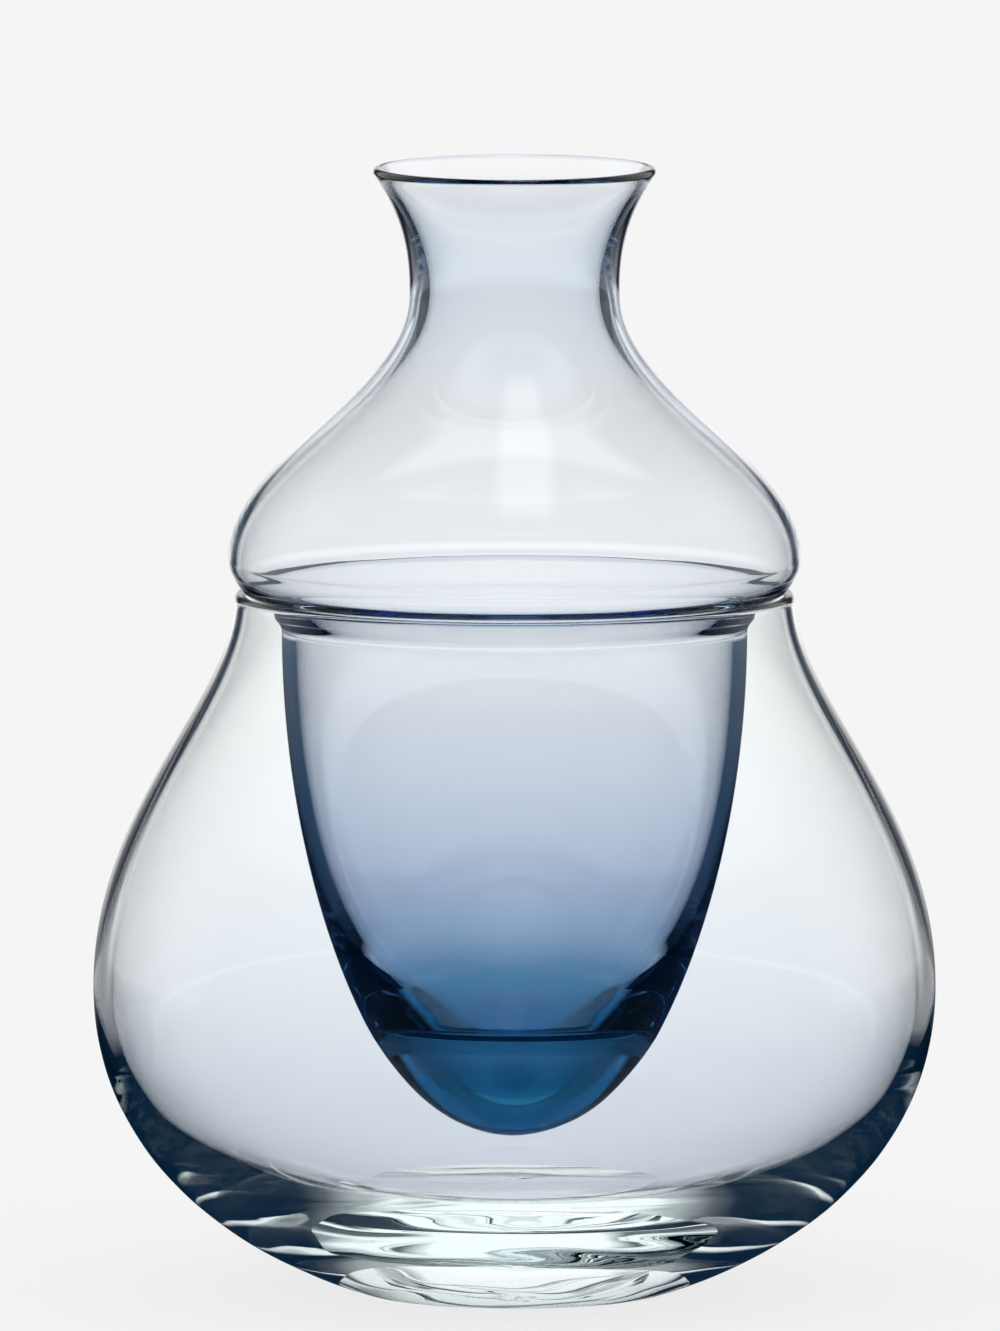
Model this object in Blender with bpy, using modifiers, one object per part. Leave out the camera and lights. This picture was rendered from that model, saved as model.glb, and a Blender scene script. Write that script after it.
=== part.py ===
"""Glass sake set: a carafe whose bullet-shaped cup hangs by its shoulder in a bowl of ice.

Both pieces are blown glass, turned about the Z axis from a wall outline in the XZ plane.
Lengths are metres, +Z is up, and the origin is the centre of the bowl's foot on the table.
"""
import math
from collections import namedtuple

import bpy
from mathutils import Vector
from mathutils.geometry import interpolate_bezier

# Ice bowl, heights measured from the table
BOWL_HEIGHT = 0.1182
RIM_RADIUS = 0.0471
RIM_WALL = 0.0018
BELLY_RADIUS = 0.0711
BELLY_HEIGHT = 0.0513
BELLY_WALL = 0.0032
FOOT_RADIUS = 0.0267
FOOT_SPREAD_ANGLE = math.radians(17.8)
FLOOR_THICKNESS = 0.0090

# Carafe above the bowl's rim
SEAT_ANGLE = math.radians(35.0)
SHOULDER_OVERHANG = 0.0012
SHOULDER_RISE = 0.0054
SHOULDER_WALL = 0.0018
NECK_RADIUS = 0.0177
NECK_WALL = 0.0033
SHOULDER_TO_NECK = 0.0450
LIP_RADIUS = 0.0238
LIP_WALL = 0.0015
LIP_FLARE_ANGLE = math.radians(35.0)
NECK_TO_LIP = 0.0215

# Carafe cup inside the bowl
CUP_GAP = 0.0061
CUP_TURN_DROP = 0.0065
CUP_WALL = 0.0023
TIP_CLEARANCE = 0.0132
TIP_WALL = 0.0237
WELL_FLOOR_RADIUS = 0.0191
WELL_CORNER_RISE = 0.0014
WELL_WALL_ANGLE = math.radians(51.5)

# Clearance that lets the carafe lift out freely
SEAT_CLEARANCE = 0.0003

# Fullness of each curve: the pull at its end, as a share of the height or width it spans
RIM_PULL = 0.26
BELLY_PULL_UP = 0.47
BELLY_PULL_DOWN = 0.51
FOOT_PULL = 0.58
FLOOR_PULL_DOWN = 0.68
FLOOR_PULL_OUT = 0.60
LIP_PULL = 0.47
NECK_PULL_UP = 0.22
NECK_PULL_DOWN = 0.38
SHOULDER_PULL_UP = 0.39
SHOULDER_PULL_DOWN = 0.25
SEAT_PULL = 0.15
TURN_PULL = 0.75
CUP_PULL_DOWN = 0.68
CUP_PULL_OUT = 0.355
WELL_PULL_DOWN = 0.71
WELL_PULL_UP = 0.42
WELL_CORNER_PULL = 0.74
WELL_FLOOR_PULL = 0.75

# Facets of the turned surfaces
FACET_LENGTH = 0.010
FEWEST_FACETS = 4
EDGE_FACETS = 6
TURN_STEPS = 56
MERGE_DISTANCE = 0.00001

# Glass colours, linear
CLEAR_GLASS = (0.93, 0.96, 0.97, 1.0)
BLUE_GLASS = (0.16, 0.34, 0.62, 1.0)
GLASS_ROUGHNESS = 0.02
GLASS_IOR = 1.5

DOWN = Vector((0.0, 0.0, -1.0))
UP = Vector((0.0, 0.0, 1.0))
OUT = Vector((1.0, 0.0, 0.0))

# A point of an outline with the pulls that shape the curve before and after it
Knot = namedtuple("Knot", "point before after")


def at(radius, height):
    """A point of a turned outline."""
    return Vector((radius, 0.0, height))


def slope(angle):
    """Direction that leaves the axis and rises at an angle to the table."""
    return Vector((math.cos(angle), 0.0, math.sin(angle)))


def square_to(direction):
    """Direction at a quarter turn, towards the axis and up for a rising slope."""
    return Vector((-direction.z, 0.0, direction.x))


def trace(knots):
    """Points along the curves that join a row of knots."""
    points = [knots[0].point]
    for start, end in zip(knots, knots[1:]):
        handles = (start.point + start.after, end.point + end.before)
        span = (handles[0] - start.point).length
        span += (handles[1] - handles[0]).length
        span += (end.point - handles[1]).length
        facets = max(FEWEST_FACETS, math.ceil(span / FACET_LENGTH))
        curve = interpolate_bezier(start.point, handles[0], handles[1], end.point, facets + 1)
        points.extend(curve[1:])
    return points


def rounded_edge(centre, thickness, lean):
    """Half-round edge of a wall that leans out, from its inner side over to its outer side."""
    points = []
    for step in range(EDGE_FACETS + 1):
        angle = math.pi * (1.0 - step / EDGE_FACETS) - lean
        points.append(centre + slope(angle) * thickness / 2.0)
    return points


def wall_outline(inner_knots, edge, outer_knots):
    """Closed wall outline: up the inside from the axis, over the edge and down the outside."""
    inside = trace(inner_knots)
    inside.reverse()
    outside = trace(outer_knots)
    return inside + edge[1:-1] + outside


def turned_object(name, outline, location, material, collection):
    """Object whose outline is turned once round its own Z axis."""
    mesh = bpy.data.meshes.new(name)
    edges = [(index, index + 1) for index in range(len(outline) - 1)]
    mesh.from_pydata(outline, edges, [])
    mesh.materials.append(material)
    piece = bpy.data.objects.new(name, mesh)
    piece.location = location
    collection.objects.link(piece)
    screw = piece.modifiers.new("turn", "SCREW")
    screw.axis = "Z"
    screw.angle = math.tau
    screw.steps = TURN_STEPS
    screw.render_steps = TURN_STEPS
    screw.use_smooth_shade = True
    screw.use_merge_vertices = True
    screw.merge_threshold = MERGE_DISTANCE
    return piece


def glass(name, colour):
    """Clear polished glass of one colour."""
    material = bpy.data.materials.new(name)
    material.use_nodes = True
    shader = material.node_tree.nodes["Principled BSDF"]
    shader.inputs["Base Color"].default_value = colour
    shader.inputs["Roughness"].default_value = GLASS_ROUGHNESS
    shader.inputs["Metallic"].default_value = 0.0
    shader.inputs["IOR"].default_value = GLASS_IOR
    shader.inputs["Transmission Weight"].default_value = 1.0
    material.diffuse_color = colour
    return material


def bowl_outline():
    """Gourd-shaped bowl: thin upright rim, full belly and a thick lens of glass over the foot."""
    edge_centre = at(RIM_RADIUS - RIM_WALL / 2.0, BOWL_HEIGHT - RIM_WALL / 2.0)
    edge = rounded_edge(edge_centre, RIM_WALL, 0.0)
    upper_span = edge_centre.z - BELLY_HEIGHT
    foot_span = BELLY_RADIUS - FOOT_RADIUS
    outer = [
        Knot(edge[-1], None, DOWN * upper_span * RIM_PULL),
        Knot(at(BELLY_RADIUS, BELLY_HEIGHT), UP * upper_span * BELLY_PULL_UP,
             DOWN * BELLY_HEIGHT * BELLY_PULL_DOWN),
        Knot(at(FOOT_RADIUS, 0.0), slope(FOOT_SPREAD_ANGLE) * foot_span * FOOT_PULL, None),
    ]
    inner_belly = BELLY_RADIUS - BELLY_WALL
    inner_span = BELLY_HEIGHT - FLOOR_THICKNESS
    inner = [
        Knot(edge[0], None, DOWN * upper_span * RIM_PULL),
        Knot(at(inner_belly, BELLY_HEIGHT), UP * upper_span * BELLY_PULL_UP,
             DOWN * inner_span * FLOOR_PULL_DOWN),
        Knot(at(0.0, FLOOR_THICKNESS), OUT * inner_belly * FLOOR_PULL_OUT, None),
    ]
    foot_centre = at(0.0, 0.0)
    return wall_outline(inner, edge, outer) + [foot_centre]


def seat_on_rim():
    """Point of the carafe's sloping seat that bears on the rim, from the top of the rim."""
    edge_centre = at(RIM_RADIUS - RIM_WALL / 2.0, -RIM_WALL / 2.0)
    return edge_centre + square_to(slope(SEAT_ANGLE)) * (RIM_WALL / 2.0 + SEAT_CLEARANCE)


def seat_to_cup(seat, cup_radius):
    """Knots from a sloping seat round the turn into an upright cup wall."""
    inward = -slope(SEAT_ANGLE)
    run = (seat.x - cup_radius) / math.cos(SEAT_ANGLE)
    corner = seat + inward * run
    cup_top = at(cup_radius, seat.z - CUP_TURN_DROP)
    return Knot(seat, -inward * run * SEAT_PULL, inward * run * TURN_PULL), corner, cup_top


def cup_tip(cup_radius, tip_height):
    """Knot of the rounded tip of the cup."""
    return [Knot(at(0.0, tip_height), OUT * cup_radius * CUP_PULL_OUT, None)]


def well_floor(cup_radius, floor_height):
    """Knots of the sloping well wall, its rounded corner and its level floor."""
    wall = slope(WELL_WALL_ANGLE)
    wall_width = cup_radius - WELL_FLOOR_RADIUS
    corner = at(WELL_FLOOR_RADIUS, floor_height + WELL_CORNER_RISE)
    return [
        Knot(corner, wall * wall_width * WELL_PULL_UP, -wall * WELL_CORNER_RISE * WELL_CORNER_PULL),
        Knot(at(0.0, floor_height), OUT * WELL_FLOOR_RADIUS * WELL_FLOOR_PULL, None),
    ]


def carafe_side(lip, neck_radius, shoulder_radius, seat, cup_radius, cup_end, pull_down):
    """Knots of one side of the carafe's wall, from the lip to the end of the cup."""
    shoulder = at(shoulder_radius, SHOULDER_RISE)
    neck = at(neck_radius, SHOULDER_RISE + SHOULDER_TO_NECK)
    lip_fall = -square_to(slope(-LIP_FLARE_ANGLE))
    seat_knot, corner, cup_top = seat_to_cup(seat, cup_radius)
    cup_depth = cup_top.z - cup_end[-1].point.z
    return [
        Knot(lip, None, lip_fall * NECK_TO_LIP * LIP_PULL),
        Knot(neck, UP * NECK_TO_LIP * NECK_PULL_UP, DOWN * SHOULDER_TO_NECK * NECK_PULL_DOWN),
        Knot(shoulder, UP * SHOULDER_TO_NECK * SHOULDER_PULL_UP,
             DOWN * (shoulder.z - seat.z) * SHOULDER_PULL_DOWN),
        seat_knot,
        Knot(cup_top, UP * (corner.z - cup_top.z) * TURN_PULL, DOWN * cup_depth * pull_down),
        *cup_end,
    ]


def carafe_outline():
    """Carafe from the rim up and down: flared lip, waisted neck, bell shoulder, solid-tipped cup."""
    lip_height = SHOULDER_RISE + SHOULDER_TO_NECK + NECK_TO_LIP
    edge_centre = at(LIP_RADIUS - LIP_WALL / 2.0, lip_height - LIP_WALL / 2.0)
    edge = rounded_edge(edge_centre, LIP_WALL, LIP_FLARE_ANGLE)
    shoulder_radius = RIM_RADIUS + SHOULDER_OVERHANG
    cup_radius = RIM_RADIUS - RIM_WALL - CUP_GAP
    tip_height = FLOOR_THICKNESS + TIP_CLEARANCE - BOWL_HEIGHT
    seat = seat_on_rim()
    outer = carafe_side(edge[-1], NECK_RADIUS, shoulder_radius, seat, cup_radius,
                        cup_tip(cup_radius, tip_height), CUP_PULL_DOWN)
    inner_seat = seat + square_to(slope(SEAT_ANGLE)) * SHOULDER_WALL
    well_radius = cup_radius - CUP_WALL
    inner = carafe_side(edge[0], NECK_RADIUS - NECK_WALL, shoulder_radius - SHOULDER_WALL,
                        inner_seat, well_radius,
                        well_floor(well_radius, tip_height + TIP_WALL), WELL_PULL_DOWN)
    return wall_outline(inner, edge, outer)


def main():
    for old in list(bpy.data.objects):
        bpy.data.objects.remove(old, do_unlink=True)
    sake_set = bpy.data.collections.new("sake_set")
    bpy.context.scene.collection.children.link(sake_set)

    table_centre = at(0.0, 0.0)
    rim_centre = at(0.0, BOWL_HEIGHT)
    turned_object("ice_bowl", bowl_outline(), table_centre, glass("clear_glass", CLEAR_GLASS), sake_set)
    turned_object("carafe", carafe_outline(), rim_centre, glass("blue_glass", BLUE_GLASS), sake_set)


main()
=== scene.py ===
"""Looks of a glass sake set: a clear ice bowl, a blue carafe that hangs in it, and a pale studio."""
import math
from collections import namedtuple

import bmesh
import bpy
from bpy.props import FloatProperty, FloatVectorProperty, PointerProperty
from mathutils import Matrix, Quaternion, Vector, noise
from mathutils.geometry import interpolate_bezier


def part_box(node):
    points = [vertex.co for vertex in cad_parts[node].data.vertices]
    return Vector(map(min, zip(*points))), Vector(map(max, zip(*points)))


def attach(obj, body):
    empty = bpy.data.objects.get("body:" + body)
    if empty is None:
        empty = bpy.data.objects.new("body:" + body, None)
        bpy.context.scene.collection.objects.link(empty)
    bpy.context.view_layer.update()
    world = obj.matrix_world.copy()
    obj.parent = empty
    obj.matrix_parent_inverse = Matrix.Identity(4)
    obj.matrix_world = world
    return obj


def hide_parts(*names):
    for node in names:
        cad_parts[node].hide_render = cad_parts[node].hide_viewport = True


bl_info = {
    "name": "Glass Sake Set",
    "version": (1, 0, 0),
    "blender": (4, 5, 0),
    "location": "View3D > Sidebar > Sake Set",
    "description": "Builds a clear ice bowl and a blue carafe in blown glass, with a pale studio",
    "category": "Add Mesh",
}

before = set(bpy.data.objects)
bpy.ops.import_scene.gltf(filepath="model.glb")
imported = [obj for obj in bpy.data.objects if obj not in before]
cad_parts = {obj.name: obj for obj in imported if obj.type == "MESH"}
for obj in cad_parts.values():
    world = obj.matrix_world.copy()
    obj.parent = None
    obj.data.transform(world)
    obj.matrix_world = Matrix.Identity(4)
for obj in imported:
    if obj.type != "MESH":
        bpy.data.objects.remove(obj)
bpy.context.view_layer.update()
BOWL_LOW, BOWL_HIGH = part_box("ice_bowl")
CARAFE_LOW, CARAFE_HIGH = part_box("carafe")

UP = Vector((0.0, 0.0, 1.0))
DOWN = Vector((0.0, 0.0, -1.0))
OUT = Vector((1.0, 0.0, 0.0))

# A point of a turned outline, with the pulls that shape the curve before it and after it
Knot = namedtuple("Knot", "point before after")
# Outline of a vessel from the middle of its inside, over its edge, to the middle of its underside
Outline = namedtuple("Outline", "inside edge outside")


def linear(hex_colour):
    """Linear red, green and blue of an sRGB hex colour."""
    values = []
    for start in (1, 3, 5):
        share = int(hex_colour[start:start + 2], 16) / 255.0
        low = share / 12.92
        high = ((share + 0.055) / 1.055) ** 2.4
        values.append(low if share <= 0.04045 else high)
    return tuple(values)


def length(name, description, default):
    """Property for a length in metres."""
    return FloatProperty(name=name, description=description, default=default, unit="LENGTH", precision=4)


def angle(name, description, degrees):
    """Property for an angle that is written in degrees."""
    return FloatProperty(name=name, description=description, default=math.radians(degrees), subtype="ANGLE")


def colour(name, description, hex_colour):
    """Property for a colour that is written as sRGB hex."""
    return FloatVectorProperty(name=name, description=description, default=linear(hex_colour),
                               subtype="COLOR", min=0.0, max=1.0)


class BowlSettings(bpy.types.PropertyGroup):
    """Sizes and colours of the clear ice bowl."""
    rim_radius: length("Rim radius", "Outer radius of the upright rim", 0.0471)
    rim_wall: length("Rim wall", "Thickness of the wall at the rim", 0.0018)
    belly_height: length("Belly height", "Height of the widest place", 0.0513)
    belly_wall: length("Belly wall", "Thickness of the wall at the widest place", 0.0032)
    foot_radius: length("Foot radius", "Radius of the flat foot", 0.0267)
    foot_spread: angle("Foot spread", "Slope of the underside where it leaves the foot", 17.8)
    floor_thickness: length("Floor thickness", "Glass between the foot and the ice", 0.0090)
    ripple: length("Ripple", "Height of the waves that blowing by hand leaves in the thick base", 0.00012)
    surface_tint: colour("Surface tint", "What one wall lets through", "#FCFEFE")
    body_tint: colour("Body tint", "What a thick piece lets through", "#F4FCFC")


class CarafeSettings(bpy.types.PropertyGroup):
    """Sizes and colours of the blue carafe."""
    seat_angle: angle("Seat angle", "Slope of the seat that bears on the bowl's rim", 35.0)
    seat_clearance: length("Seat clearance", "Gap between the seat and the bowl's rim", 0.0003)
    shoulder_rise: length("Shoulder rise", "Widest place of the shoulder above the bowl's rim", 0.0054)
    shoulder_wall: length("Shoulder wall", "Thickness of the bell-shaped shoulder", 0.0018)
    neck_radius: length("Neck radius", "Outer radius of the waist", 0.0177)
    neck_wall: length("Neck wall", "Thickness of the wall at the waist", 0.0033)
    shoulder_to_neck: length("Shoulder to neck", "Height from the shoulder to the waist", 0.0450)
    lip_radius: length("Lip radius", "Outer radius of the flared lip", 0.0238)
    lip_wall: length("Lip wall", "Thickness of the rounded lip", 0.0015)
    lip_flare: angle("Lip flare", "Lean of the lip away from the axis", 35.0)
    cup_gap: length("Cup gap", "Space between the cup and the bowl's mouth", 0.0061)
    cup_turn_drop: length("Cup turn", "Depth of the turn from the seat into the cup", 0.0065)
    cup_wall: length("Cup wall", "Thickness at the top of the cup", 0.0023)
    tip_wall: length("Tip wall", "Solid glass under the floor of the well", 0.0237)
    well_floor_radius: length("Well floor radius", "Radius of the level floor of the well", 0.0191)
    well_corner_rise: length("Well corner rise", "Height of the rounded corner round the floor", 0.0014)
    well_wall_angle: angle("Well wall angle", "Slope of the well's wall above the corner", 51.5)
    tip_blue: colour("Tip blue", "Casing at the very tip", "#0356A2")
    point_blue: colour("Point blue", "Casing just above the tip", "#155A79")
    deep_blue: colour("Deep blue", "Casing round the solid glass", "#0D607F")
    floor_blue: colour("Floor blue", "Casing level with the well's floor", "#437A9A")
    cup_blue: colour("Cup blue", "Casing low on the cup", "#B2CBE8")
    fading_blue: colour("Fading blue", "Casing half way up the cup", "#D2D8E9")
    pale_blue: colour("Pale blue", "Casing high on the cup", "#E4E8F4")
    thin_blue: colour("Thin blue", "Casing at the top of the cup", "#EDEBEF")
    shoulder_blue: colour("Shoulder blue", "Casing on the shoulder, where it is thinnest", "#FEFDFD")
    neck_blue: colour("Neck blue", "Casing on the neck, where the wall grows again", "#E6EAED")
    body_tint: colour("Body tint", "What a thick piece lets through", "#66B3DD")


class StageSettings(bpy.types.PropertyGroup):
    """Colours of the studio."""
    backdrop: colour("Backdrop", "Pale paper behind and under the set", "#F5F5F5")
    # Painted shade: dark navy that the paper shows to rays through or off the glass, also the dark room of
    # the world
    shade: colour("Shade", "Black cards that give the glass its dark edges", "#092137")
    # Painted shadow: tone of the paper near the set, seen only through the glass
    shadow: colour("Shadow", "Paper close to the set, seen through the glass", "#E6EBF7")
    # Painted dim light: tone of the far paper that rays deep in the cup see
    dusk: colour("Dusk", "Far floor that the sides of the cup show", "#3A5670")


def at(radius, height):
    """Point of an outline."""
    return Vector((radius, 0.0, height))


def slope(tilt):
    """Direction in the outline's plane, tilted up from the outward one."""
    return Vector((math.cos(tilt), 0.0, math.sin(tilt)))


def square_to(direction):
    """Direction turned a quarter turn in the outline's plane."""
    return Vector((-direction.z, 0.0, direction.x))


# How finely the outlines are cut into facets
CURVE_SAMPLES = 600
LONGEST_FACET = 0.0014
SHARPEST_FACET = math.radians(3.0)
EDGE_FACETS = 24
FOOT_RINGS = 12


def trace(knots):
    """Points along the curves through the knots, closer together where the outline turns."""
    fine = [knots[0].point]
    for start, end in zip(knots, knots[1:]):
        pulls = (start.point + start.after, end.point + end.before)
        fine.extend(interpolate_bezier(start.point, *pulls, end.point, CURVE_SAMPLES)[1:])
    points = [fine[0]]
    walked = 0.0
    turned = 0.0
    for before, here, after in zip(fine, fine[1:], fine[2:]):
        walked += (here - before).length
        turned += (here - before).angle(after - here)
        if walked > LONGEST_FACET or turned > SHARPEST_FACET:
            points.append(here)
            walked = 0.0
            turned = 0.0
    points.append(fine[-1])
    return points


def rounded_edge(centre, thickness, lean):
    """Half round from the inside of a wall over its top to the outside."""
    points = []
    for step in range(EDGE_FACETS + 1):
        tilt = math.pi * (1.0 - step / EDGE_FACETS) - lean
        points.append(centre + slope(tilt) * thickness / 2.0)
    return points


# Pulls of the bowl's curves, as shares of the height or width that a curve crosses
RIM_PULL = 0.26
BELLY_PULL_UP = 0.47
BELLY_PULL_DOWN = 0.51
FOOT_PULL = 0.58
FLOOR_PULL_DOWN = 0.68
FLOOR_PULL_OUT = 0.60


def bowl_outline(bowl):
    """Upright rim, full belly, and a floor that thickens to a lens over the foot."""
    belly = BOWL_HIGH.x
    edge_centre = at(bowl.rim_radius - bowl.rim_wall / 2.0, BOWL_HIGH.z - bowl.rim_wall / 2.0)
    edge = rounded_edge(edge_centre, bowl.rim_wall, 0.0)
    upper = edge_centre.z - bowl.belly_height
    spread = slope(bowl.foot_spread) * (belly - bowl.foot_radius)
    outer = [
        Knot(edge[-1], None, DOWN * upper * RIM_PULL),
        Knot(at(belly, bowl.belly_height), UP * upper * BELLY_PULL_UP,
             DOWN * bowl.belly_height * BELLY_PULL_DOWN),
        Knot(at(bowl.foot_radius, 0.0), spread * FOOT_PULL, None),
    ]
    inner_belly = belly - bowl.belly_wall
    depth = bowl.belly_height - bowl.floor_thickness
    inner = [
        Knot(edge[0], None, DOWN * upper * RIM_PULL),
        Knot(at(inner_belly, bowl.belly_height), UP * upper * BELLY_PULL_UP,
             DOWN * depth * FLOOR_PULL_DOWN),
        Knot(at(0.0, bowl.floor_thickness), OUT * inner_belly * FLOOR_PULL_OUT, None),
    ]
    inside = trace(inner)
    inside.reverse()
    foot = [at(bowl.foot_radius * ring / FOOT_RINGS, 0.0) for ring in range(FOOT_RINGS - 1, -1, -1)]
    return Outline(inside, edge[1:-1], trace(outer) + foot)


# Pulls of the carafe's curves, in the same way
LIP_PULL = 0.47
NECK_PULL_UP = 0.22
NECK_PULL_DOWN = 0.38
SHOULDER_PULL_UP = 0.39
SHOULDER_PULL_DOWN = 0.25
SEAT_PULL_OUT = 0.15
SEAT_PULL_IN = 0.75
CUP_TURN_PULL = 0.75
CUP_PULL_DOWN = 0.68
CUP_PULL_OUT = 0.355
WELL_PULL_DOWN = 0.71
WELL_PULL_UP = 0.42
WELL_CORNER_PULL = 0.74
WELL_FLOOR_PULL = 0.75


def carafe_side(carafe, lip, neck_radius, shoulder_radius, seat, cup_radius, cup_end, pull_down):
    """Knots of one side of the wall, from the lip down to the end of the cup."""
    shoulder = at(shoulder_radius, BOWL_HIGH.z + carafe.shoulder_rise)
    neck = at(neck_radius, shoulder.z + carafe.shoulder_to_neck)
    lip_rise = CARAFE_HIGH.z - neck.z
    lip_fall = -square_to(slope(-carafe.lip_flare))
    inward = -slope(carafe.seat_angle)
    run = (seat.x - cup_radius) / math.cos(carafe.seat_angle)
    corner = seat + inward * run
    cup_top = at(cup_radius, seat.z - carafe.cup_turn_drop)
    cup_depth = cup_top.z - cup_end[-1].point.z
    return [
        Knot(lip, None, lip_fall * lip_rise * LIP_PULL),
        Knot(neck, UP * lip_rise * NECK_PULL_UP, DOWN * carafe.shoulder_to_neck * NECK_PULL_DOWN),
        Knot(shoulder, UP * carafe.shoulder_to_neck * SHOULDER_PULL_UP,
             DOWN * (shoulder.z - seat.z) * SHOULDER_PULL_DOWN),
        Knot(seat, -inward * run * SEAT_PULL_OUT, inward * run * SEAT_PULL_IN),
        Knot(cup_top, UP * (corner.z - cup_top.z) * CUP_TURN_PULL, DOWN * cup_depth * pull_down),
        *cup_end,
    ]


def carafe_outline(carafe, bowl):
    """Flared lip, waisted neck, bell shoulder, seat, and a bullet-shaped cup with a solid tip."""
    lip_centre = at(carafe.lip_radius - carafe.lip_wall / 2.0, CARAFE_HIGH.z - carafe.lip_wall / 2.0)
    edge = rounded_edge(lip_centre, carafe.lip_wall, carafe.lip_flare)
    rim_centre = at(bowl.rim_radius - bowl.rim_wall / 2.0, BOWL_HIGH.z - bowl.rim_wall / 2.0)
    off_seat = square_to(slope(carafe.seat_angle))
    seat = rim_centre + off_seat * (bowl.rim_wall / 2.0 + carafe.seat_clearance)
    cup_radius = bowl.rim_radius - bowl.rim_wall - carafe.cup_gap
    tip = [Knot(at(0.0, CARAFE_LOW.z), OUT * cup_radius * CUP_PULL_OUT, None)]
    outer = carafe_side(carafe, edge[-1], carafe.neck_radius, CARAFE_HIGH.x, seat, cup_radius, tip,
                        CUP_PULL_DOWN)
    well_radius = cup_radius - carafe.cup_wall
    well_floor = CARAFE_LOW.z + carafe.tip_wall
    wall = slope(carafe.well_wall_angle)
    rise = carafe.well_corner_rise
    well = [
        Knot(at(carafe.well_floor_radius, well_floor + rise),
             wall * (well_radius - carafe.well_floor_radius) * WELL_PULL_UP,
             -wall * rise * WELL_CORNER_PULL),
        Knot(at(0.0, well_floor), OUT * carafe.well_floor_radius * WELL_FLOOR_PULL, None),
    ]
    inner = carafe_side(carafe, edge[0], carafe.neck_radius - carafe.neck_wall,
                        CARAFE_HIGH.x - carafe.shoulder_wall, seat + off_seat * carafe.shoulder_wall,
                        well_radius, well, WELL_PULL_DOWN)
    inside = trace(inner)
    inside.reverse()
    return Outline(inside, edge[1:-1], trace(outer))


# Waves that turning and blowing leave: long round the vessel and short across it
RIPPLE_ROUND = 0.035
RIPPLE_ACROSS = 0.0085
# Heights between which the waves are whole, and where they end
RIPPLE_FULL_ABOVE = 0.003
RIPPLE_FULL_BELOW = 0.018
RIPPLE_GONE_ABOVE = 0.052
# Facets round the axis, and the turn from which an edge shows
TURN_STEPS = 192
SHARP_EDGE = math.radians(12.0)


def ripple_share(point):
    """How much of the ripple a place has: all in the thick base, none on the walls or the foot."""
    fall = (RIPPLE_GONE_ABOVE - point.z) / (RIPPLE_GONE_ABOVE - RIPPLE_FULL_BELOW)
    return max(0.0, min(1.0, fall, point.z / RIPPLE_FULL_ABOVE))


def outline_normals(points):
    """Outward directions along an outline."""
    normals = []
    for index in range(len(points)):
        before = points[max(index - 1, 0)]
        after = points[min(index + 1, len(points) - 1)]
        normals.append(square_to(after - before).normalized())
    return normals


def blown_mesh(name, outline, ripple=0.0):
    """Turned vessel with its waves; the attribute casing is 1 on its outer skin."""
    points = outline.inside + outline.edge + outline.outside
    normals = outline_normals(points)
    turns = [Quaternion(UP, math.tau * step / TURN_STEPS) for step in range(TURN_STEPS)]
    shape = bmesh.new()
    casing = shape.verts.layers.float.new("casing")
    rings = []
    walked = 0.0
    for index, (point, normal) in enumerate(zip(points, normals)):
        walked += (point - points[max(index - 1, 0)]).length
        height = ripple * ripple_share(point)
        ring = []
        for turn in turns if 0 < index < len(points) - 1 else turns[:1]:
            spot = turn @ OUT * max(point.x, RIPPLE_ROUND) / RIPPLE_ROUND + UP * walked / RIPPLE_ACROSS
            vert = shape.verts.new(turn @ (point + normal * height * noise.noise(spot)))
            vert[casing] = 0.0 if index < len(outline.inside) else 1.0
            ring.append(vert)
        rings.append(ring)
    for first, second in zip(rings, rings[1:]):
        for step in range(TURN_STEPS):
            after = (step + 1) % TURN_STEPS
            corners = [first[step % len(first)], first[after % len(first)],
                       second[after % len(second)], second[step % len(second)]]
            shape.faces.new(list(dict.fromkeys(corners))).smooth = True
    bmesh.ops.recalc_face_normals(shape, faces=shape.faces)
    mesh = bpy.data.meshes.new(name)
    shape.to_mesh(mesh)
    shape.free()
    mesh.set_sharp_from_angle(angle=SHARP_EDGE)
    piece = bpy.data.objects.new(name, mesh)
    bpy.context.scene.collection.objects.link(piece)
    return piece


# Sockets of the Mix node, whose names repeat
NUMBER_A, NUMBER_B, COLOUR_A, COLOUR_B = 2, 3, 6, 7
NUMBER_OUT, COLOUR_OUT = 0, 2


def opaque(tint):
    """Colour of a node socket, with full alpha."""
    return (tint[0], tint[1], tint[2], 1.0)


def grey(tone):
    """Colour of a node socket that is alike in red, green and blue."""
    return (tone, tone, tone, 1.0)


def fresh_tree(owner):
    """Empty node tree of a material or world."""
    owner.use_nodes = True
    owner.node_tree.nodes.clear()
    return owner.node_tree


def add_node(tree, kind, settings=None, inputs=None):
    """Node of a kind with its settings; each input is a plain value or the socket linked into it."""
    node = tree.nodes.new(kind)
    for key, value in (settings or {}).items():
        setattr(node, key, value)
    for key, value in (inputs or {}).items():
        if isinstance(value, bpy.types.NodeSocket):
            tree.links.new(value, node.inputs[key])
        else:
            node.inputs[key].default_value = value
    return node


def calculate(tree, operation, *terms):
    """Result of a Math node on numbers or sockets."""
    return add_node(tree, "ShaderNodeMath", {"operation": operation}, dict(enumerate(terms))).outputs[0]


def ramped(tree, measure, limits, low=0.0):
    """Share that grows from low at the first limit of a measure to 1 at the second."""
    inputs = {"Value": measure, "From Min": limits[0], "From Max": limits[1], "To Min": low}
    return add_node(tree, "ShaderNodeMapRange", None, inputs).outputs[0]


def choose(tree, share, first, second):
    """First number where the share is 0, and second where it is 1."""
    inputs = {"Factor": share, NUMBER_A: first, NUMBER_B: second}
    return add_node(tree, "ShaderNodeMix", None, inputs).outputs[NUMBER_OUT]


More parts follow.
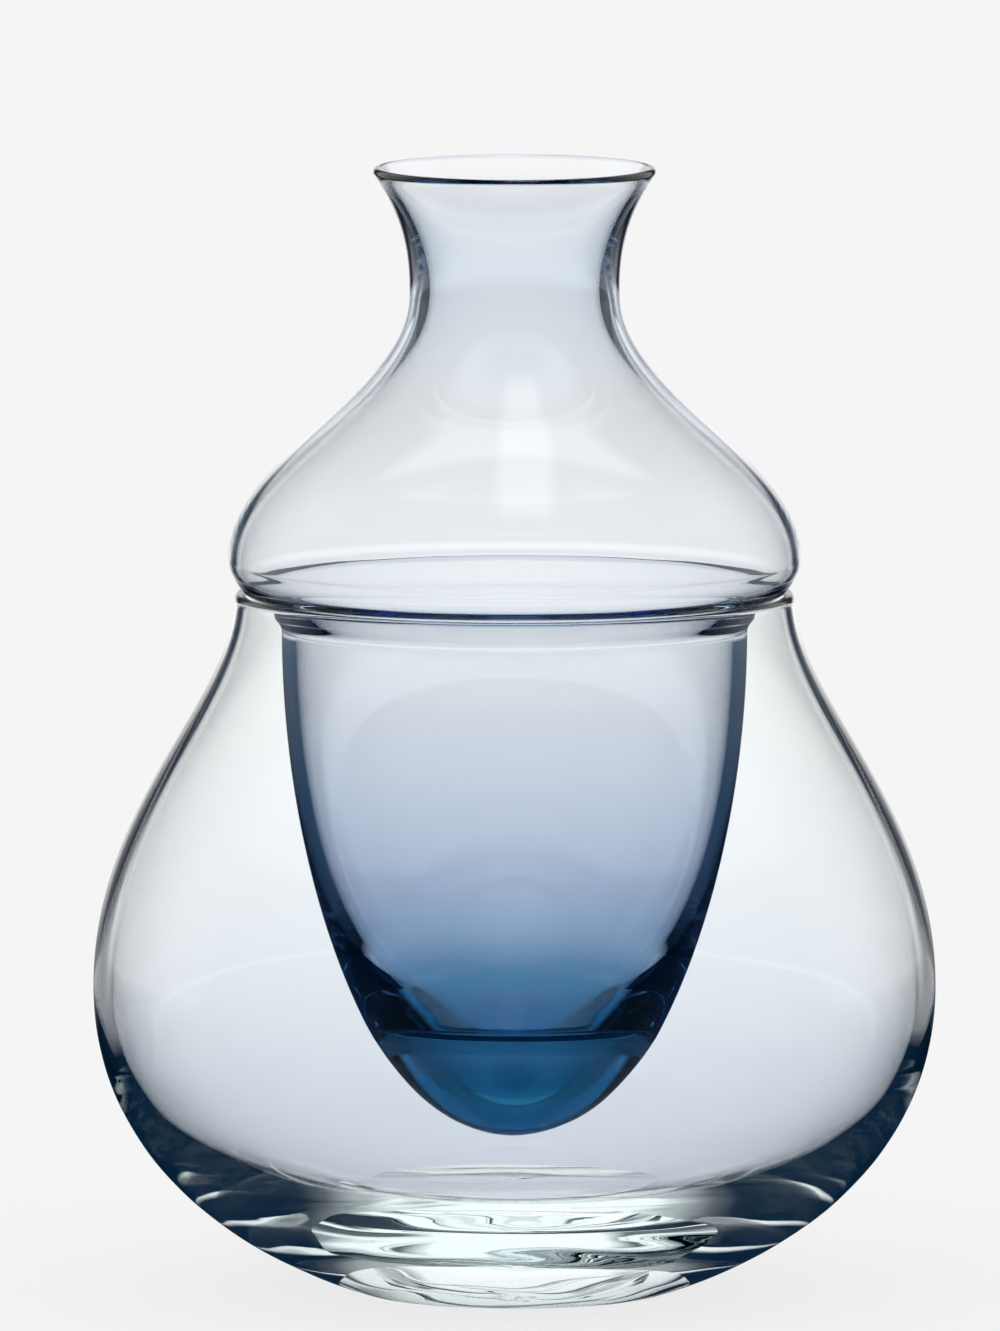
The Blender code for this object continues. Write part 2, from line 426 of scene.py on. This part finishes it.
def blend(tree, share, first, second):
    """First colour where the share is 0, and second where it is 1."""
    inputs = {"Factor": share, COLOUR_A: first, COLOUR_B: second}
    return add_node(tree, "ShaderNodeMix", {"data_type": "RGBA"}, inputs).outputs[COLOUR_OUT]


def colour_ramp(tree, measure, places, colours):
    """Colours along a measure, each whole at its place."""
    first, last = places[0], places[-1]
    ramp = add_node(tree, "ShaderNodeValToRGB", None, {"Fac": ramped(tree, measure, (first, last))})
    stops = ramp.color_ramp.elements
    while len(stops) < len(places):
        stops.new(1.0)
    for stop, place, tint in zip(stops, places, colours):
        stop.position = (place - first) / (last - first)
        stop.color = tint
    return ramp.outputs["Color"]


SODA_LIME_IOR = 1.5
CLEAR_BODY_DENSITY = 10.0
BLUE_BODY_DENSITY = 30.0
# Heights at which the casing's colours are set, from the tip up
CASING_HEIGHTS = (0.022, 0.028, 0.036, 0.045, 0.056, 0.068, 0.082, 0.100, 0.112, 0.146, 0.177,
                  0.182, 0.189)


def clear_glass(bowl):
    """Soda-lime glass, blown and fire polished."""
    # Fire polish leaves no roughness, so edges stay crisp; iron in the batch takes a little red
    material = bpy.data.materials.new("clear_soda_lime_glass_blown")
    tree = fresh_tree(material)
    surface = add_node(tree, "ShaderNodeBsdfPrincipled", None, {
        "Base Color": opaque(bowl.surface_tint), "Roughness": 0.0, "IOR": SODA_LIME_IOR,
        "Transmission Weight": 1.0})
    body = add_node(tree, "ShaderNodeVolumeAbsorption", None, {
        "Color": opaque(bowl.body_tint), "Density": CLEAR_BODY_DENSITY})
    add_node(tree, "ShaderNodeOutputMaterial", None, {
        "Surface": surface.outputs[0], "Volume": body.outputs[0]})
    return material


def blue_glass(carafe):
    """Pale blue soda-lime glass, cased in deeper blue and blown."""
    # Blowing draws the casing out thin, so the blue is deep at the tip and runs out up the cup
    material = bpy.data.materials.new("blue_cased_glass_blown")
    tree = fresh_tree(material)
    place = add_node(tree, "ShaderNodeTexCoord")
    parts = add_node(tree, "ShaderNodeSeparateXYZ", None, {0: place.outputs["Object"]})
    blues = (carafe.tip_blue, carafe.point_blue, carafe.deep_blue, carafe.floor_blue,
             carafe.cup_blue, carafe.fading_blue, carafe.pale_blue, carafe.thin_blue,
             carafe.shoulder_blue, carafe.shoulder_blue, carafe.neck_blue, carafe.neck_blue,
             carafe.shoulder_blue)
    casing = colour_ramp(tree, parts.outputs["Z"], CASING_HEIGHTS, [opaque(blue) for blue in blues])
    skin = add_node(tree, "ShaderNodeAttribute", {"attribute_name": "casing"})
    tint = blend(tree, skin.outputs["Fac"], grey(1.0), casing)
    surface = add_node(tree, "ShaderNodeBsdfPrincipled", None, {
        "Base Color": tint, "Roughness": 0.0, "IOR": SODA_LIME_IOR, "Transmission Weight": 1.0})
    body = add_node(tree, "ShaderNodeVolumeAbsorption", None, {
        "Color": opaque(carafe.body_tint), "Density": BLUE_BODY_DENSITY})
    add_node(tree, "ShaderNodeOutputMaterial", None, {
        "Surface": surface.outputs[0], "Volume": body.outputs[0]})
    return material


# What a ray met, and the depth that it has then passed: a mirror in the glass, a second one, the
# hollow past one wall, the carafe's cup, and the floor
PATH_TESTS = {
    "mirrored": ("Glossy Depth", 0.5),
    "again": ("Glossy Depth", 1.5),
    "inside": ("Transmission Depth", 2.5),
    "deep": ("Transmission Depth", 4.5),
    "scattered": ("Diffuse Depth", 0.5),
}
GlassPath = namedtuple("GlassPath", ("ray", *PATH_TESTS))


def glass_path(tree):
    """Sockets that tell the kind of a ray and what it met."""
    ray = add_node(tree, "ShaderNodeLightPath").outputs
    tests = [calculate(tree, "GREATER_THAN", ray[depth], limit) for depth, limit in PATH_TESTS.values()]
    return GlassPath(ray, *tests)


# What a thin wall mirrors, by how far its ray points to the back: dark room, white card, black card beside
# the backdrop, and the backdrop; in the world these are light and dark, on the paper they are painted light
# and painted shade
WALL_CARDS = ((0.845, 0.0), (0.865, 0.45), (0.895, 0.45), (0.915, 0.01), (0.955, 0.01),
              (0.970, 0.25), (0.988, 1.0))
# What the front of the glass mirrors, by the same measure
GLINT_CARDS = ((-0.10, 0.0), (0.30, 1.0), (0.84, 1.0), (0.90, 0.1), (0.955, 0.05), (0.985, 1.0))
# What the thick base mirrors, by how far its ray points to a side
BASE_CARDS = ((0.15, 1.0), (0.20, 0.06), (0.27, 0.06), (0.32, 0.45), (0.50, 0.40),
              (0.60, 0.10), (0.68, 0.0))


def card_light(tree, measure, cards):
    """Light of a row of cards, each with the measure at which a ray meets it."""
    places, lights = zip(*cards)
    return colour_ramp(tree, measure, places, [grey(light) for light in lights])


def by_path(tree, path, wall, base, cup, tip):
    """Light for a ray mirrored in a thin wall, often in the base, once in the cup, often in the tip."""
    clear = choose(tree, path.again, wall, base)
    blue = choose(tree, path.again, cup, tip)
    light = choose(tree, path.deep, clear, blue)
    # A weak mirror image on a wall of the hollow shows the dark room
    strong = calculate(tree, "MAXIMUM", path.deep, path.again)
    hollow = calculate(tree, "GREATER_THAN", path.inside, strong)
    return choose(tree, hollow, light, 0.0)


# Light of the backdrop on a matt floor of this tone gives the floor the backdrop's own tone
PAPER_TONE = 0.9
# Strength of the paper behind the glass: past two walls, past one, and far off; on the paper this is
# painted light, brighter than the backdrop
SEEN_THROUGH = 1.18
SEEN_ONCE = 1.0
SEEN_FAR = 1.05
UNLIT = 0.0
# Share of the floor that shows the object's shadow
SHADOW_SHARE = 0.15
FLOOR_RADIUS = 12.0
FLOOR_SIDES = 128
FLOOR_DROP = 0.0002
# Distances on the floor, from where a painted light, painted shadow or painted shade starts to where it is
# whole
UNDER_FOOT = (0.031, 0.027)
UNDER_BASE = (0.060, 0.040)
UNDER_CUP = (0.088, 0.070)
NEAR_SHADOW = (0.10, 0.70)
DISTANT_PAPER = (0.90, 1.15)
WALL_FLOOR = (0.30, 1.0)
BEHIND_SET = (0.16, 0.22)
BESIDE_SET = (0.28, 0.22)
BACK_HALF = (0.0, 0.05)
DUSK_FLOOR = (0.08, 0.16)
FAR_FLOOR = (1.2, 1.6)
# Distance from the axis at which a ray leaves the side of the set
WALL_REACH = 0.068


def paper_floor(stage):
    """Matt paper under the set, glowing with painted light and a painted shadow for rays through the glass,
    and with painted dark cards that only rays mirrored in the glass see.
    """
    bpy.ops.mesh.primitive_circle_add(vertices=FLOOR_SIDES, radius=FLOOR_RADIUS, fill_type="NGON",
                                      location=(0.0, 0.0, -FLOOR_DROP))
    floor = bpy.context.object
    floor.name = "paper_floor"
    # Matt paper scatters evenly, so camera rays see a soft shadow and no reflection; rays through or off
    # the glass see the paper glow with painted light, painted shade and a painted shadow instead
    paper = bpy.data.materials.new("paper_glowing_with_painted_light")
    tree = fresh_tree(paper)
    path = glass_path(tree)
    place = add_node(tree, "ShaderNodeNewGeometry").outputs["Position"]
    axis = add_node(tree, "ShaderNodeSeparateXYZ", None, {0: place}).outputs
    away = add_node(tree, "ShaderNodeVectorMath", {"operation": "LENGTH"}, {0: place}).outputs["Value"]
    aside = calculate(tree, "ABSOLUTE", axis["X"])
    # Painted light: places on the paper that glow as if lit, under the foot, under the base and the cup, in
    # a strip behind the set, and far off
    under_foot = ramped(tree, away, UNDER_FOOT)
    far_floor = ramped(tree, away, FAR_FLOOR)
    back_half = ramped(tree, axis["Y"], BACK_HALF)
    # How far a ray points to the back, from the side of the set that it left
    reach = calculate(tree, "SUBTRACT", aside, WALL_REACH)
    lean = calculate(tree, "DIVIDE", reach, axis["Y"])
    towards_back = calculate(tree, "INVERSE_SQRT", calculate(tree, "MULTIPLY_ADD", lean, lean, 1.0))
    # What mirrored rays see: painted pools of light on the paper, and painted dark cards
    behind = calculate(tree, "MULTIPLY", ramped(tree, away, WALL_FLOOR), back_half)
    wall = calculate(tree, "MULTIPLY", card_light(tree, towards_back, WALL_CARDS), behind)
    strip = calculate(tree, "MULTIPLY", ramped(tree, away, BEHIND_SET), ramped(tree, aside, BESIDE_SET))
    strip = calculate(tree, "MULTIPLY", strip, back_half)
    lit = by_path(tree, path,
                  wall=calculate(tree, "MAXIMUM", wall, under_foot),
                  base=calculate(tree, "MAXIMUM", strip, ramped(tree, away, UNDER_BASE)),
                  cup=calculate(tree, "MAXIMUM", far_floor, ramped(tree, away, UNDER_CUP)),
                  tip=calculate(tree, "MAXIMUM", far_floor, under_foot))
    # Painted shade: where the painted light is off, the paper shows dark navy cards, black for rays deep in
    # the cup, and a painted dim dusk tone further off for those rays
    dusk = calculate(tree, "MULTIPLY", ramped(tree, away, DUSK_FLOOR), path.deep)
    card = blend(tree, path.deep, opaque(stage.shade), grey(UNLIT))
    card = blend(tree, dusk, card, opaque(stage.dusk))
    mirrored = blend(tree, lit, card, grey(SEEN_THROUGH))
    # What rays that go straight through see: a painted shadow close by, and pale paper painted brighter
    # than the backdrop
    straight = blend(tree, path.inside, grey(SEEN_ONCE), grey(SEEN_THROUGH))
    straight = blend(tree, ramped(tree, away, NEAR_SHADOW), opaque(stage.shadow), straight)
    straight = blend(tree, ramped(tree, away, DISTANT_PAPER), straight, grey(SEEN_FAR))
    through = blend(tree, path.mirrored, straight, mirrored)
    # Painted reflection: rays off the front of the glass see painted dark cards on the paper in place of
    # its even tone
    glint = calculate(tree, "MULTIPLY", card_light(tree, towards_back, GLINT_CARDS), behind)
    glint = blend(tree, glint, opaque(stage.shade), opaque(stage.backdrop))
    seen = blend(tree, path.ray["Is Glossy Ray"], opaque(stage.backdrop), glint)
    seen = blend(tree, path.ray["Is Transmission Ray"], seen, through)
    glow = add_node(tree, "ShaderNodeEmission", None, {"Color": seen})
    matt = add_node(tree, "ShaderNodeBsdfDiffuse", None, {"Color": grey(PAPER_TONE)})
    shaded = calculate(tree, "MULTIPLY", path.ray["Is Camera Ray"], SHADOW_SHARE)
    shaded = calculate(tree, "MAXIMUM", shaded, path.scattered)
    mixed = add_node(tree, "ShaderNodeMixShader", None, {
        0: shaded, 1: glow.outputs[0], 2: matt.outputs[0]})
    add_node(tree, "ShaderNodeOutputMaterial", None, {"Surface": mixed.outputs[0]})
    floor.data.materials.append(paper)


# How far a ray must point to the back, to a side or up, from where light starts to where it is whole
UPPER_RISE = (0.08, 0.16)
UPPER_BACK = (0.90, 0.94)
BASE_CEILING = (0.40, 0.52)
BASE_ASIDE = (0.55, 0.38)
CUP_BACK = (0.20, 0.29)
CUP_CEILING = (0.48, 0.60)
CUP_ASIDE = (0.60, 0.15)
TIP_BACK = (0.60, 0.68)
GLINT_LOW = (0.85, 0.60)
# Light that is left at the sides of the cup, and of the ceiling in the tip
CUP_ASIDE_LIGHT = 0.35
TIP_CEILING_LIGHT = 0.3
# Overhead softbox that gives the shoulder its highlight
SOFTBOX_SHIFT = 0.05
SOFTBOX_BACK = (-0.42, -0.25)
SOFTBOX_RISE = (0.42, 0.55)
SOFTBOX_ASIDE = (0.16, 0.10)
SOFTBOX_LIGHT = 1.8


def studio_world(stage):
    """Even light, with a dark room that rays mirrored in the glass see round a bright backdrop."""
    world = bpy.data.worlds.new("studio")
    bpy.context.scene.world = world
    tree = fresh_tree(world)
    path = glass_path(tree)
    direction = add_node(tree, "ShaderNodeTexCoord").outputs["Generated"]
    axis = add_node(tree, "ShaderNodeSeparateXYZ", None, {0: direction}).outputs
    aside = calculate(tree, "ABSOLUTE", axis["X"])
    # What mirrored rays see: the backdrop and ceiling where they are lit, and the dark room
    upper = calculate(tree, "MULTIPLY", ramped(tree, axis["Z"], UPPER_RISE),
                      ramped(tree, axis["Y"], UPPER_BACK))
    low_ceiling = calculate(tree, "MULTIPLY", ramped(tree, axis["Z"], BASE_CEILING),
                            ramped(tree, aside, BASE_ASIDE))
    ceiling = ramped(tree, axis["Z"], CUP_CEILING)
    dim_ceiling = calculate(tree, "MULTIPLY", ceiling, TIP_CEILING_LIGHT)
    fall = ramped(tree, aside, CUP_ASIDE, CUP_ASIDE_LIGHT)
    cup = calculate(tree, "MAXIMUM", ramped(tree, axis["Y"], CUP_BACK), ceiling)
    lit = by_path(tree, path,
                  wall=calculate(tree, "MAXIMUM", card_light(tree, axis["Y"], WALL_CARDS), upper),
                  base=calculate(tree, "MAXIMUM", card_light(tree, aside, BASE_CARDS), low_ceiling),
                  cup=calculate(tree, "MULTIPLY", cup, fall),
                  tip=calculate(tree, "MAXIMUM", ramped(tree, axis["Y"], TIP_BACK), dim_ceiling))
    card = blend(tree, path.deep, opaque(stage.shade), grey(UNLIT))
    mirrored = blend(tree, lit, card, grey(SEEN_THROUGH))
    # What rays that go straight through see: the backdrop, darker at the sides of the cup
    behind_cup = blend(tree, fall, grey(UNLIT), grey(SEEN_THROUGH))
    straight = blend(tree, path.deep, grey(SEEN_FAR), behind_cup)
    through = blend(tree, path.mirrored, straight, mirrored)
    # What the front of the glass mirrors: cards at the sides, and the softbox
    glint = calculate(tree, "MULTIPLY", card_light(tree, axis["Y"], GLINT_CARDS),
                      ramped(tree, axis["Z"], GLINT_LOW))
    glint = blend(tree, glint, opaque(stage.shade), opaque(stage.backdrop))
    off_softbox = calculate(tree, "ABSOLUTE", calculate(tree, "SUBTRACT", axis["X"], SOFTBOX_SHIFT))
    softbox = calculate(tree, "MULTIPLY", ramped(tree, axis["Y"], SOFTBOX_BACK),
                        ramped(tree, off_softbox, SOFTBOX_ASIDE))
    softbox = calculate(tree, "MULTIPLY", softbox, ramped(tree, axis["Z"], SOFTBOX_RISE))
    glint = blend(tree, softbox, glint, grey(SOFTBOX_LIGHT))
    even = opaque([tone / PAPER_TONE for tone in stage.backdrop])
    seen = blend(tree, path.ray["Is Glossy Ray"], even, glint)
    seen = blend(tree, path.ray["Is Transmission Ray"], seen, through)
    seen = blend(tree, path.scattered, seen, even)
    seen = blend(tree, path.ray["Is Camera Ray"], seen, opaque(stage.backdrop))
    light = add_node(tree, "ShaderNodeBackground", None, {"Color": seen})
    add_node(tree, "ShaderNodeOutputWorld", None, {"Surface": light.outputs[0]})


# Frame and scale of the photograph, measured at the axis of the set
PHOTO_ROWS = 1331.0
METRES_PER_ROW = 0.0001686
CAMERA_DISTANCE = 4.0
CAMERA_TILT = math.radians(6.6)
CAMERA_AIM = Vector((-0.00245, 0.0, 0.1057))
SENSOR = 36.0


def photo_camera():
    """Long lens, a little above the set."""
    data = bpy.data.cameras.new("photo_camera")
    data.sensor_width = SENSOR
    data.lens = CAMERA_DISTANCE / METRES_PER_ROW * SENSOR / PHOTO_ROWS
    camera = bpy.data.objects.new("photo_camera", data)
    bpy.context.scene.collection.objects.link(camera)
    towards = Vector((0.0, -math.cos(CAMERA_TILT), math.sin(CAMERA_TILT)))
    camera.location = CAMERA_AIM + towards * CAMERA_DISTANCE
    camera.rotation_euler = (math.pi / 2.0 - CAMERA_TILT, 0.0, 0.0)
    bpy.context.scene.camera = camera


# Light passes many walls of glass before it leaves the set
GLASS_BOUNCES = 48
MIRROR_BOUNCES = 28


class SAKE_OT_stage(bpy.types.Operator):
    """Pale floor, soft studio light and the camera"""
    bl_idname = "sake.stage"
    bl_label = "Studio"

    def execute(self, context):
        scene = context.scene
        paper_floor(scene.sake_stage)
        studio_world(scene.sake_stage)
        photo_camera()
        scene.view_settings.view_transform = "Standard"
        scene.cycles.max_bounces = GLASS_BOUNCES
        scene.cycles.transmission_bounces = GLASS_BOUNCES
        scene.cycles.glossy_bounces = MIRROR_BOUNCES
        return {"FINISHED"}


class SAKE_OT_ice_bowl(bpy.types.Operator):
    """Clear ice bowl of blown glass"""
    bl_idname = "sake.ice_bowl"
    bl_label = "Ice Bowl"

    def execute(self, context):
        bowl = context.scene.sake_bowl
        piece = blown_mesh("ice_bowl_glass", bowl_outline(bowl), bowl.ripple)
        piece.data.materials.append(clear_glass(bowl))
        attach(piece, "bowl")
        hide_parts("ice_bowl")
        return {"FINISHED"}


class SAKE_OT_carafe(bpy.types.Operator):
    """Blue carafe of cased glass"""
    bl_idname = "sake.carafe"
    bl_label = "Carafe"

    def execute(self, context):
        carafe = context.scene.sake_carafe
        piece = blown_mesh("carafe_glass", carafe_outline(carafe, context.scene.sake_bowl))
        piece.data.materials.append(blue_glass(carafe))
        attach(piece, "decanter")
        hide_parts("carafe")
        return {"FINISHED"}


class SAKE_PT_set(bpy.types.Panel):
    """Buttons, sizes and colours of the sake set"""
    bl_idname = "SAKE_PT_set"
    bl_label = "Sake Set"
    bl_space_type = "VIEW_3D"
    bl_region_type = "UI"
    bl_category = "Sake Set"

    def draw(self, context):
        for operator in OPERATORS:
            self.layout.operator(operator.bl_idname)
        for name, group in GROUPS.items():
            column = self.layout.column()
            for setting in group.__annotations__:
                column.prop(getattr(context.scene, name), setting)


GROUPS = {"sake_stage": StageSettings, "sake_bowl": BowlSettings, "sake_carafe": CarafeSettings}
OPERATORS = (SAKE_OT_stage, SAKE_OT_ice_bowl, SAKE_OT_carafe)
CLASSES = (*GROUPS.values(), *OPERATORS, SAKE_PT_set)


def register():
    """Makes the classes and their settings known to Blender."""
    for item in CLASSES:
        bpy.utils.register_class(item)
    for name, group in GROUPS.items():
        setattr(bpy.types.Scene, name, PointerProperty(type=group))


def unregister():
    """Takes the settings and classes away again."""
    for name in GROUPS:
        delattr(bpy.types.Scene, name)
    for item in reversed(CLASSES):
        bpy.utils.unregister_class(item)


def main():
    """Builds the set and its studio."""
    register()
    bpy.ops.sake.stage()
    bpy.ops.sake.ice_bowl()
    bpy.ops.sake.carafe()


if __name__ == "__main__":
    main()
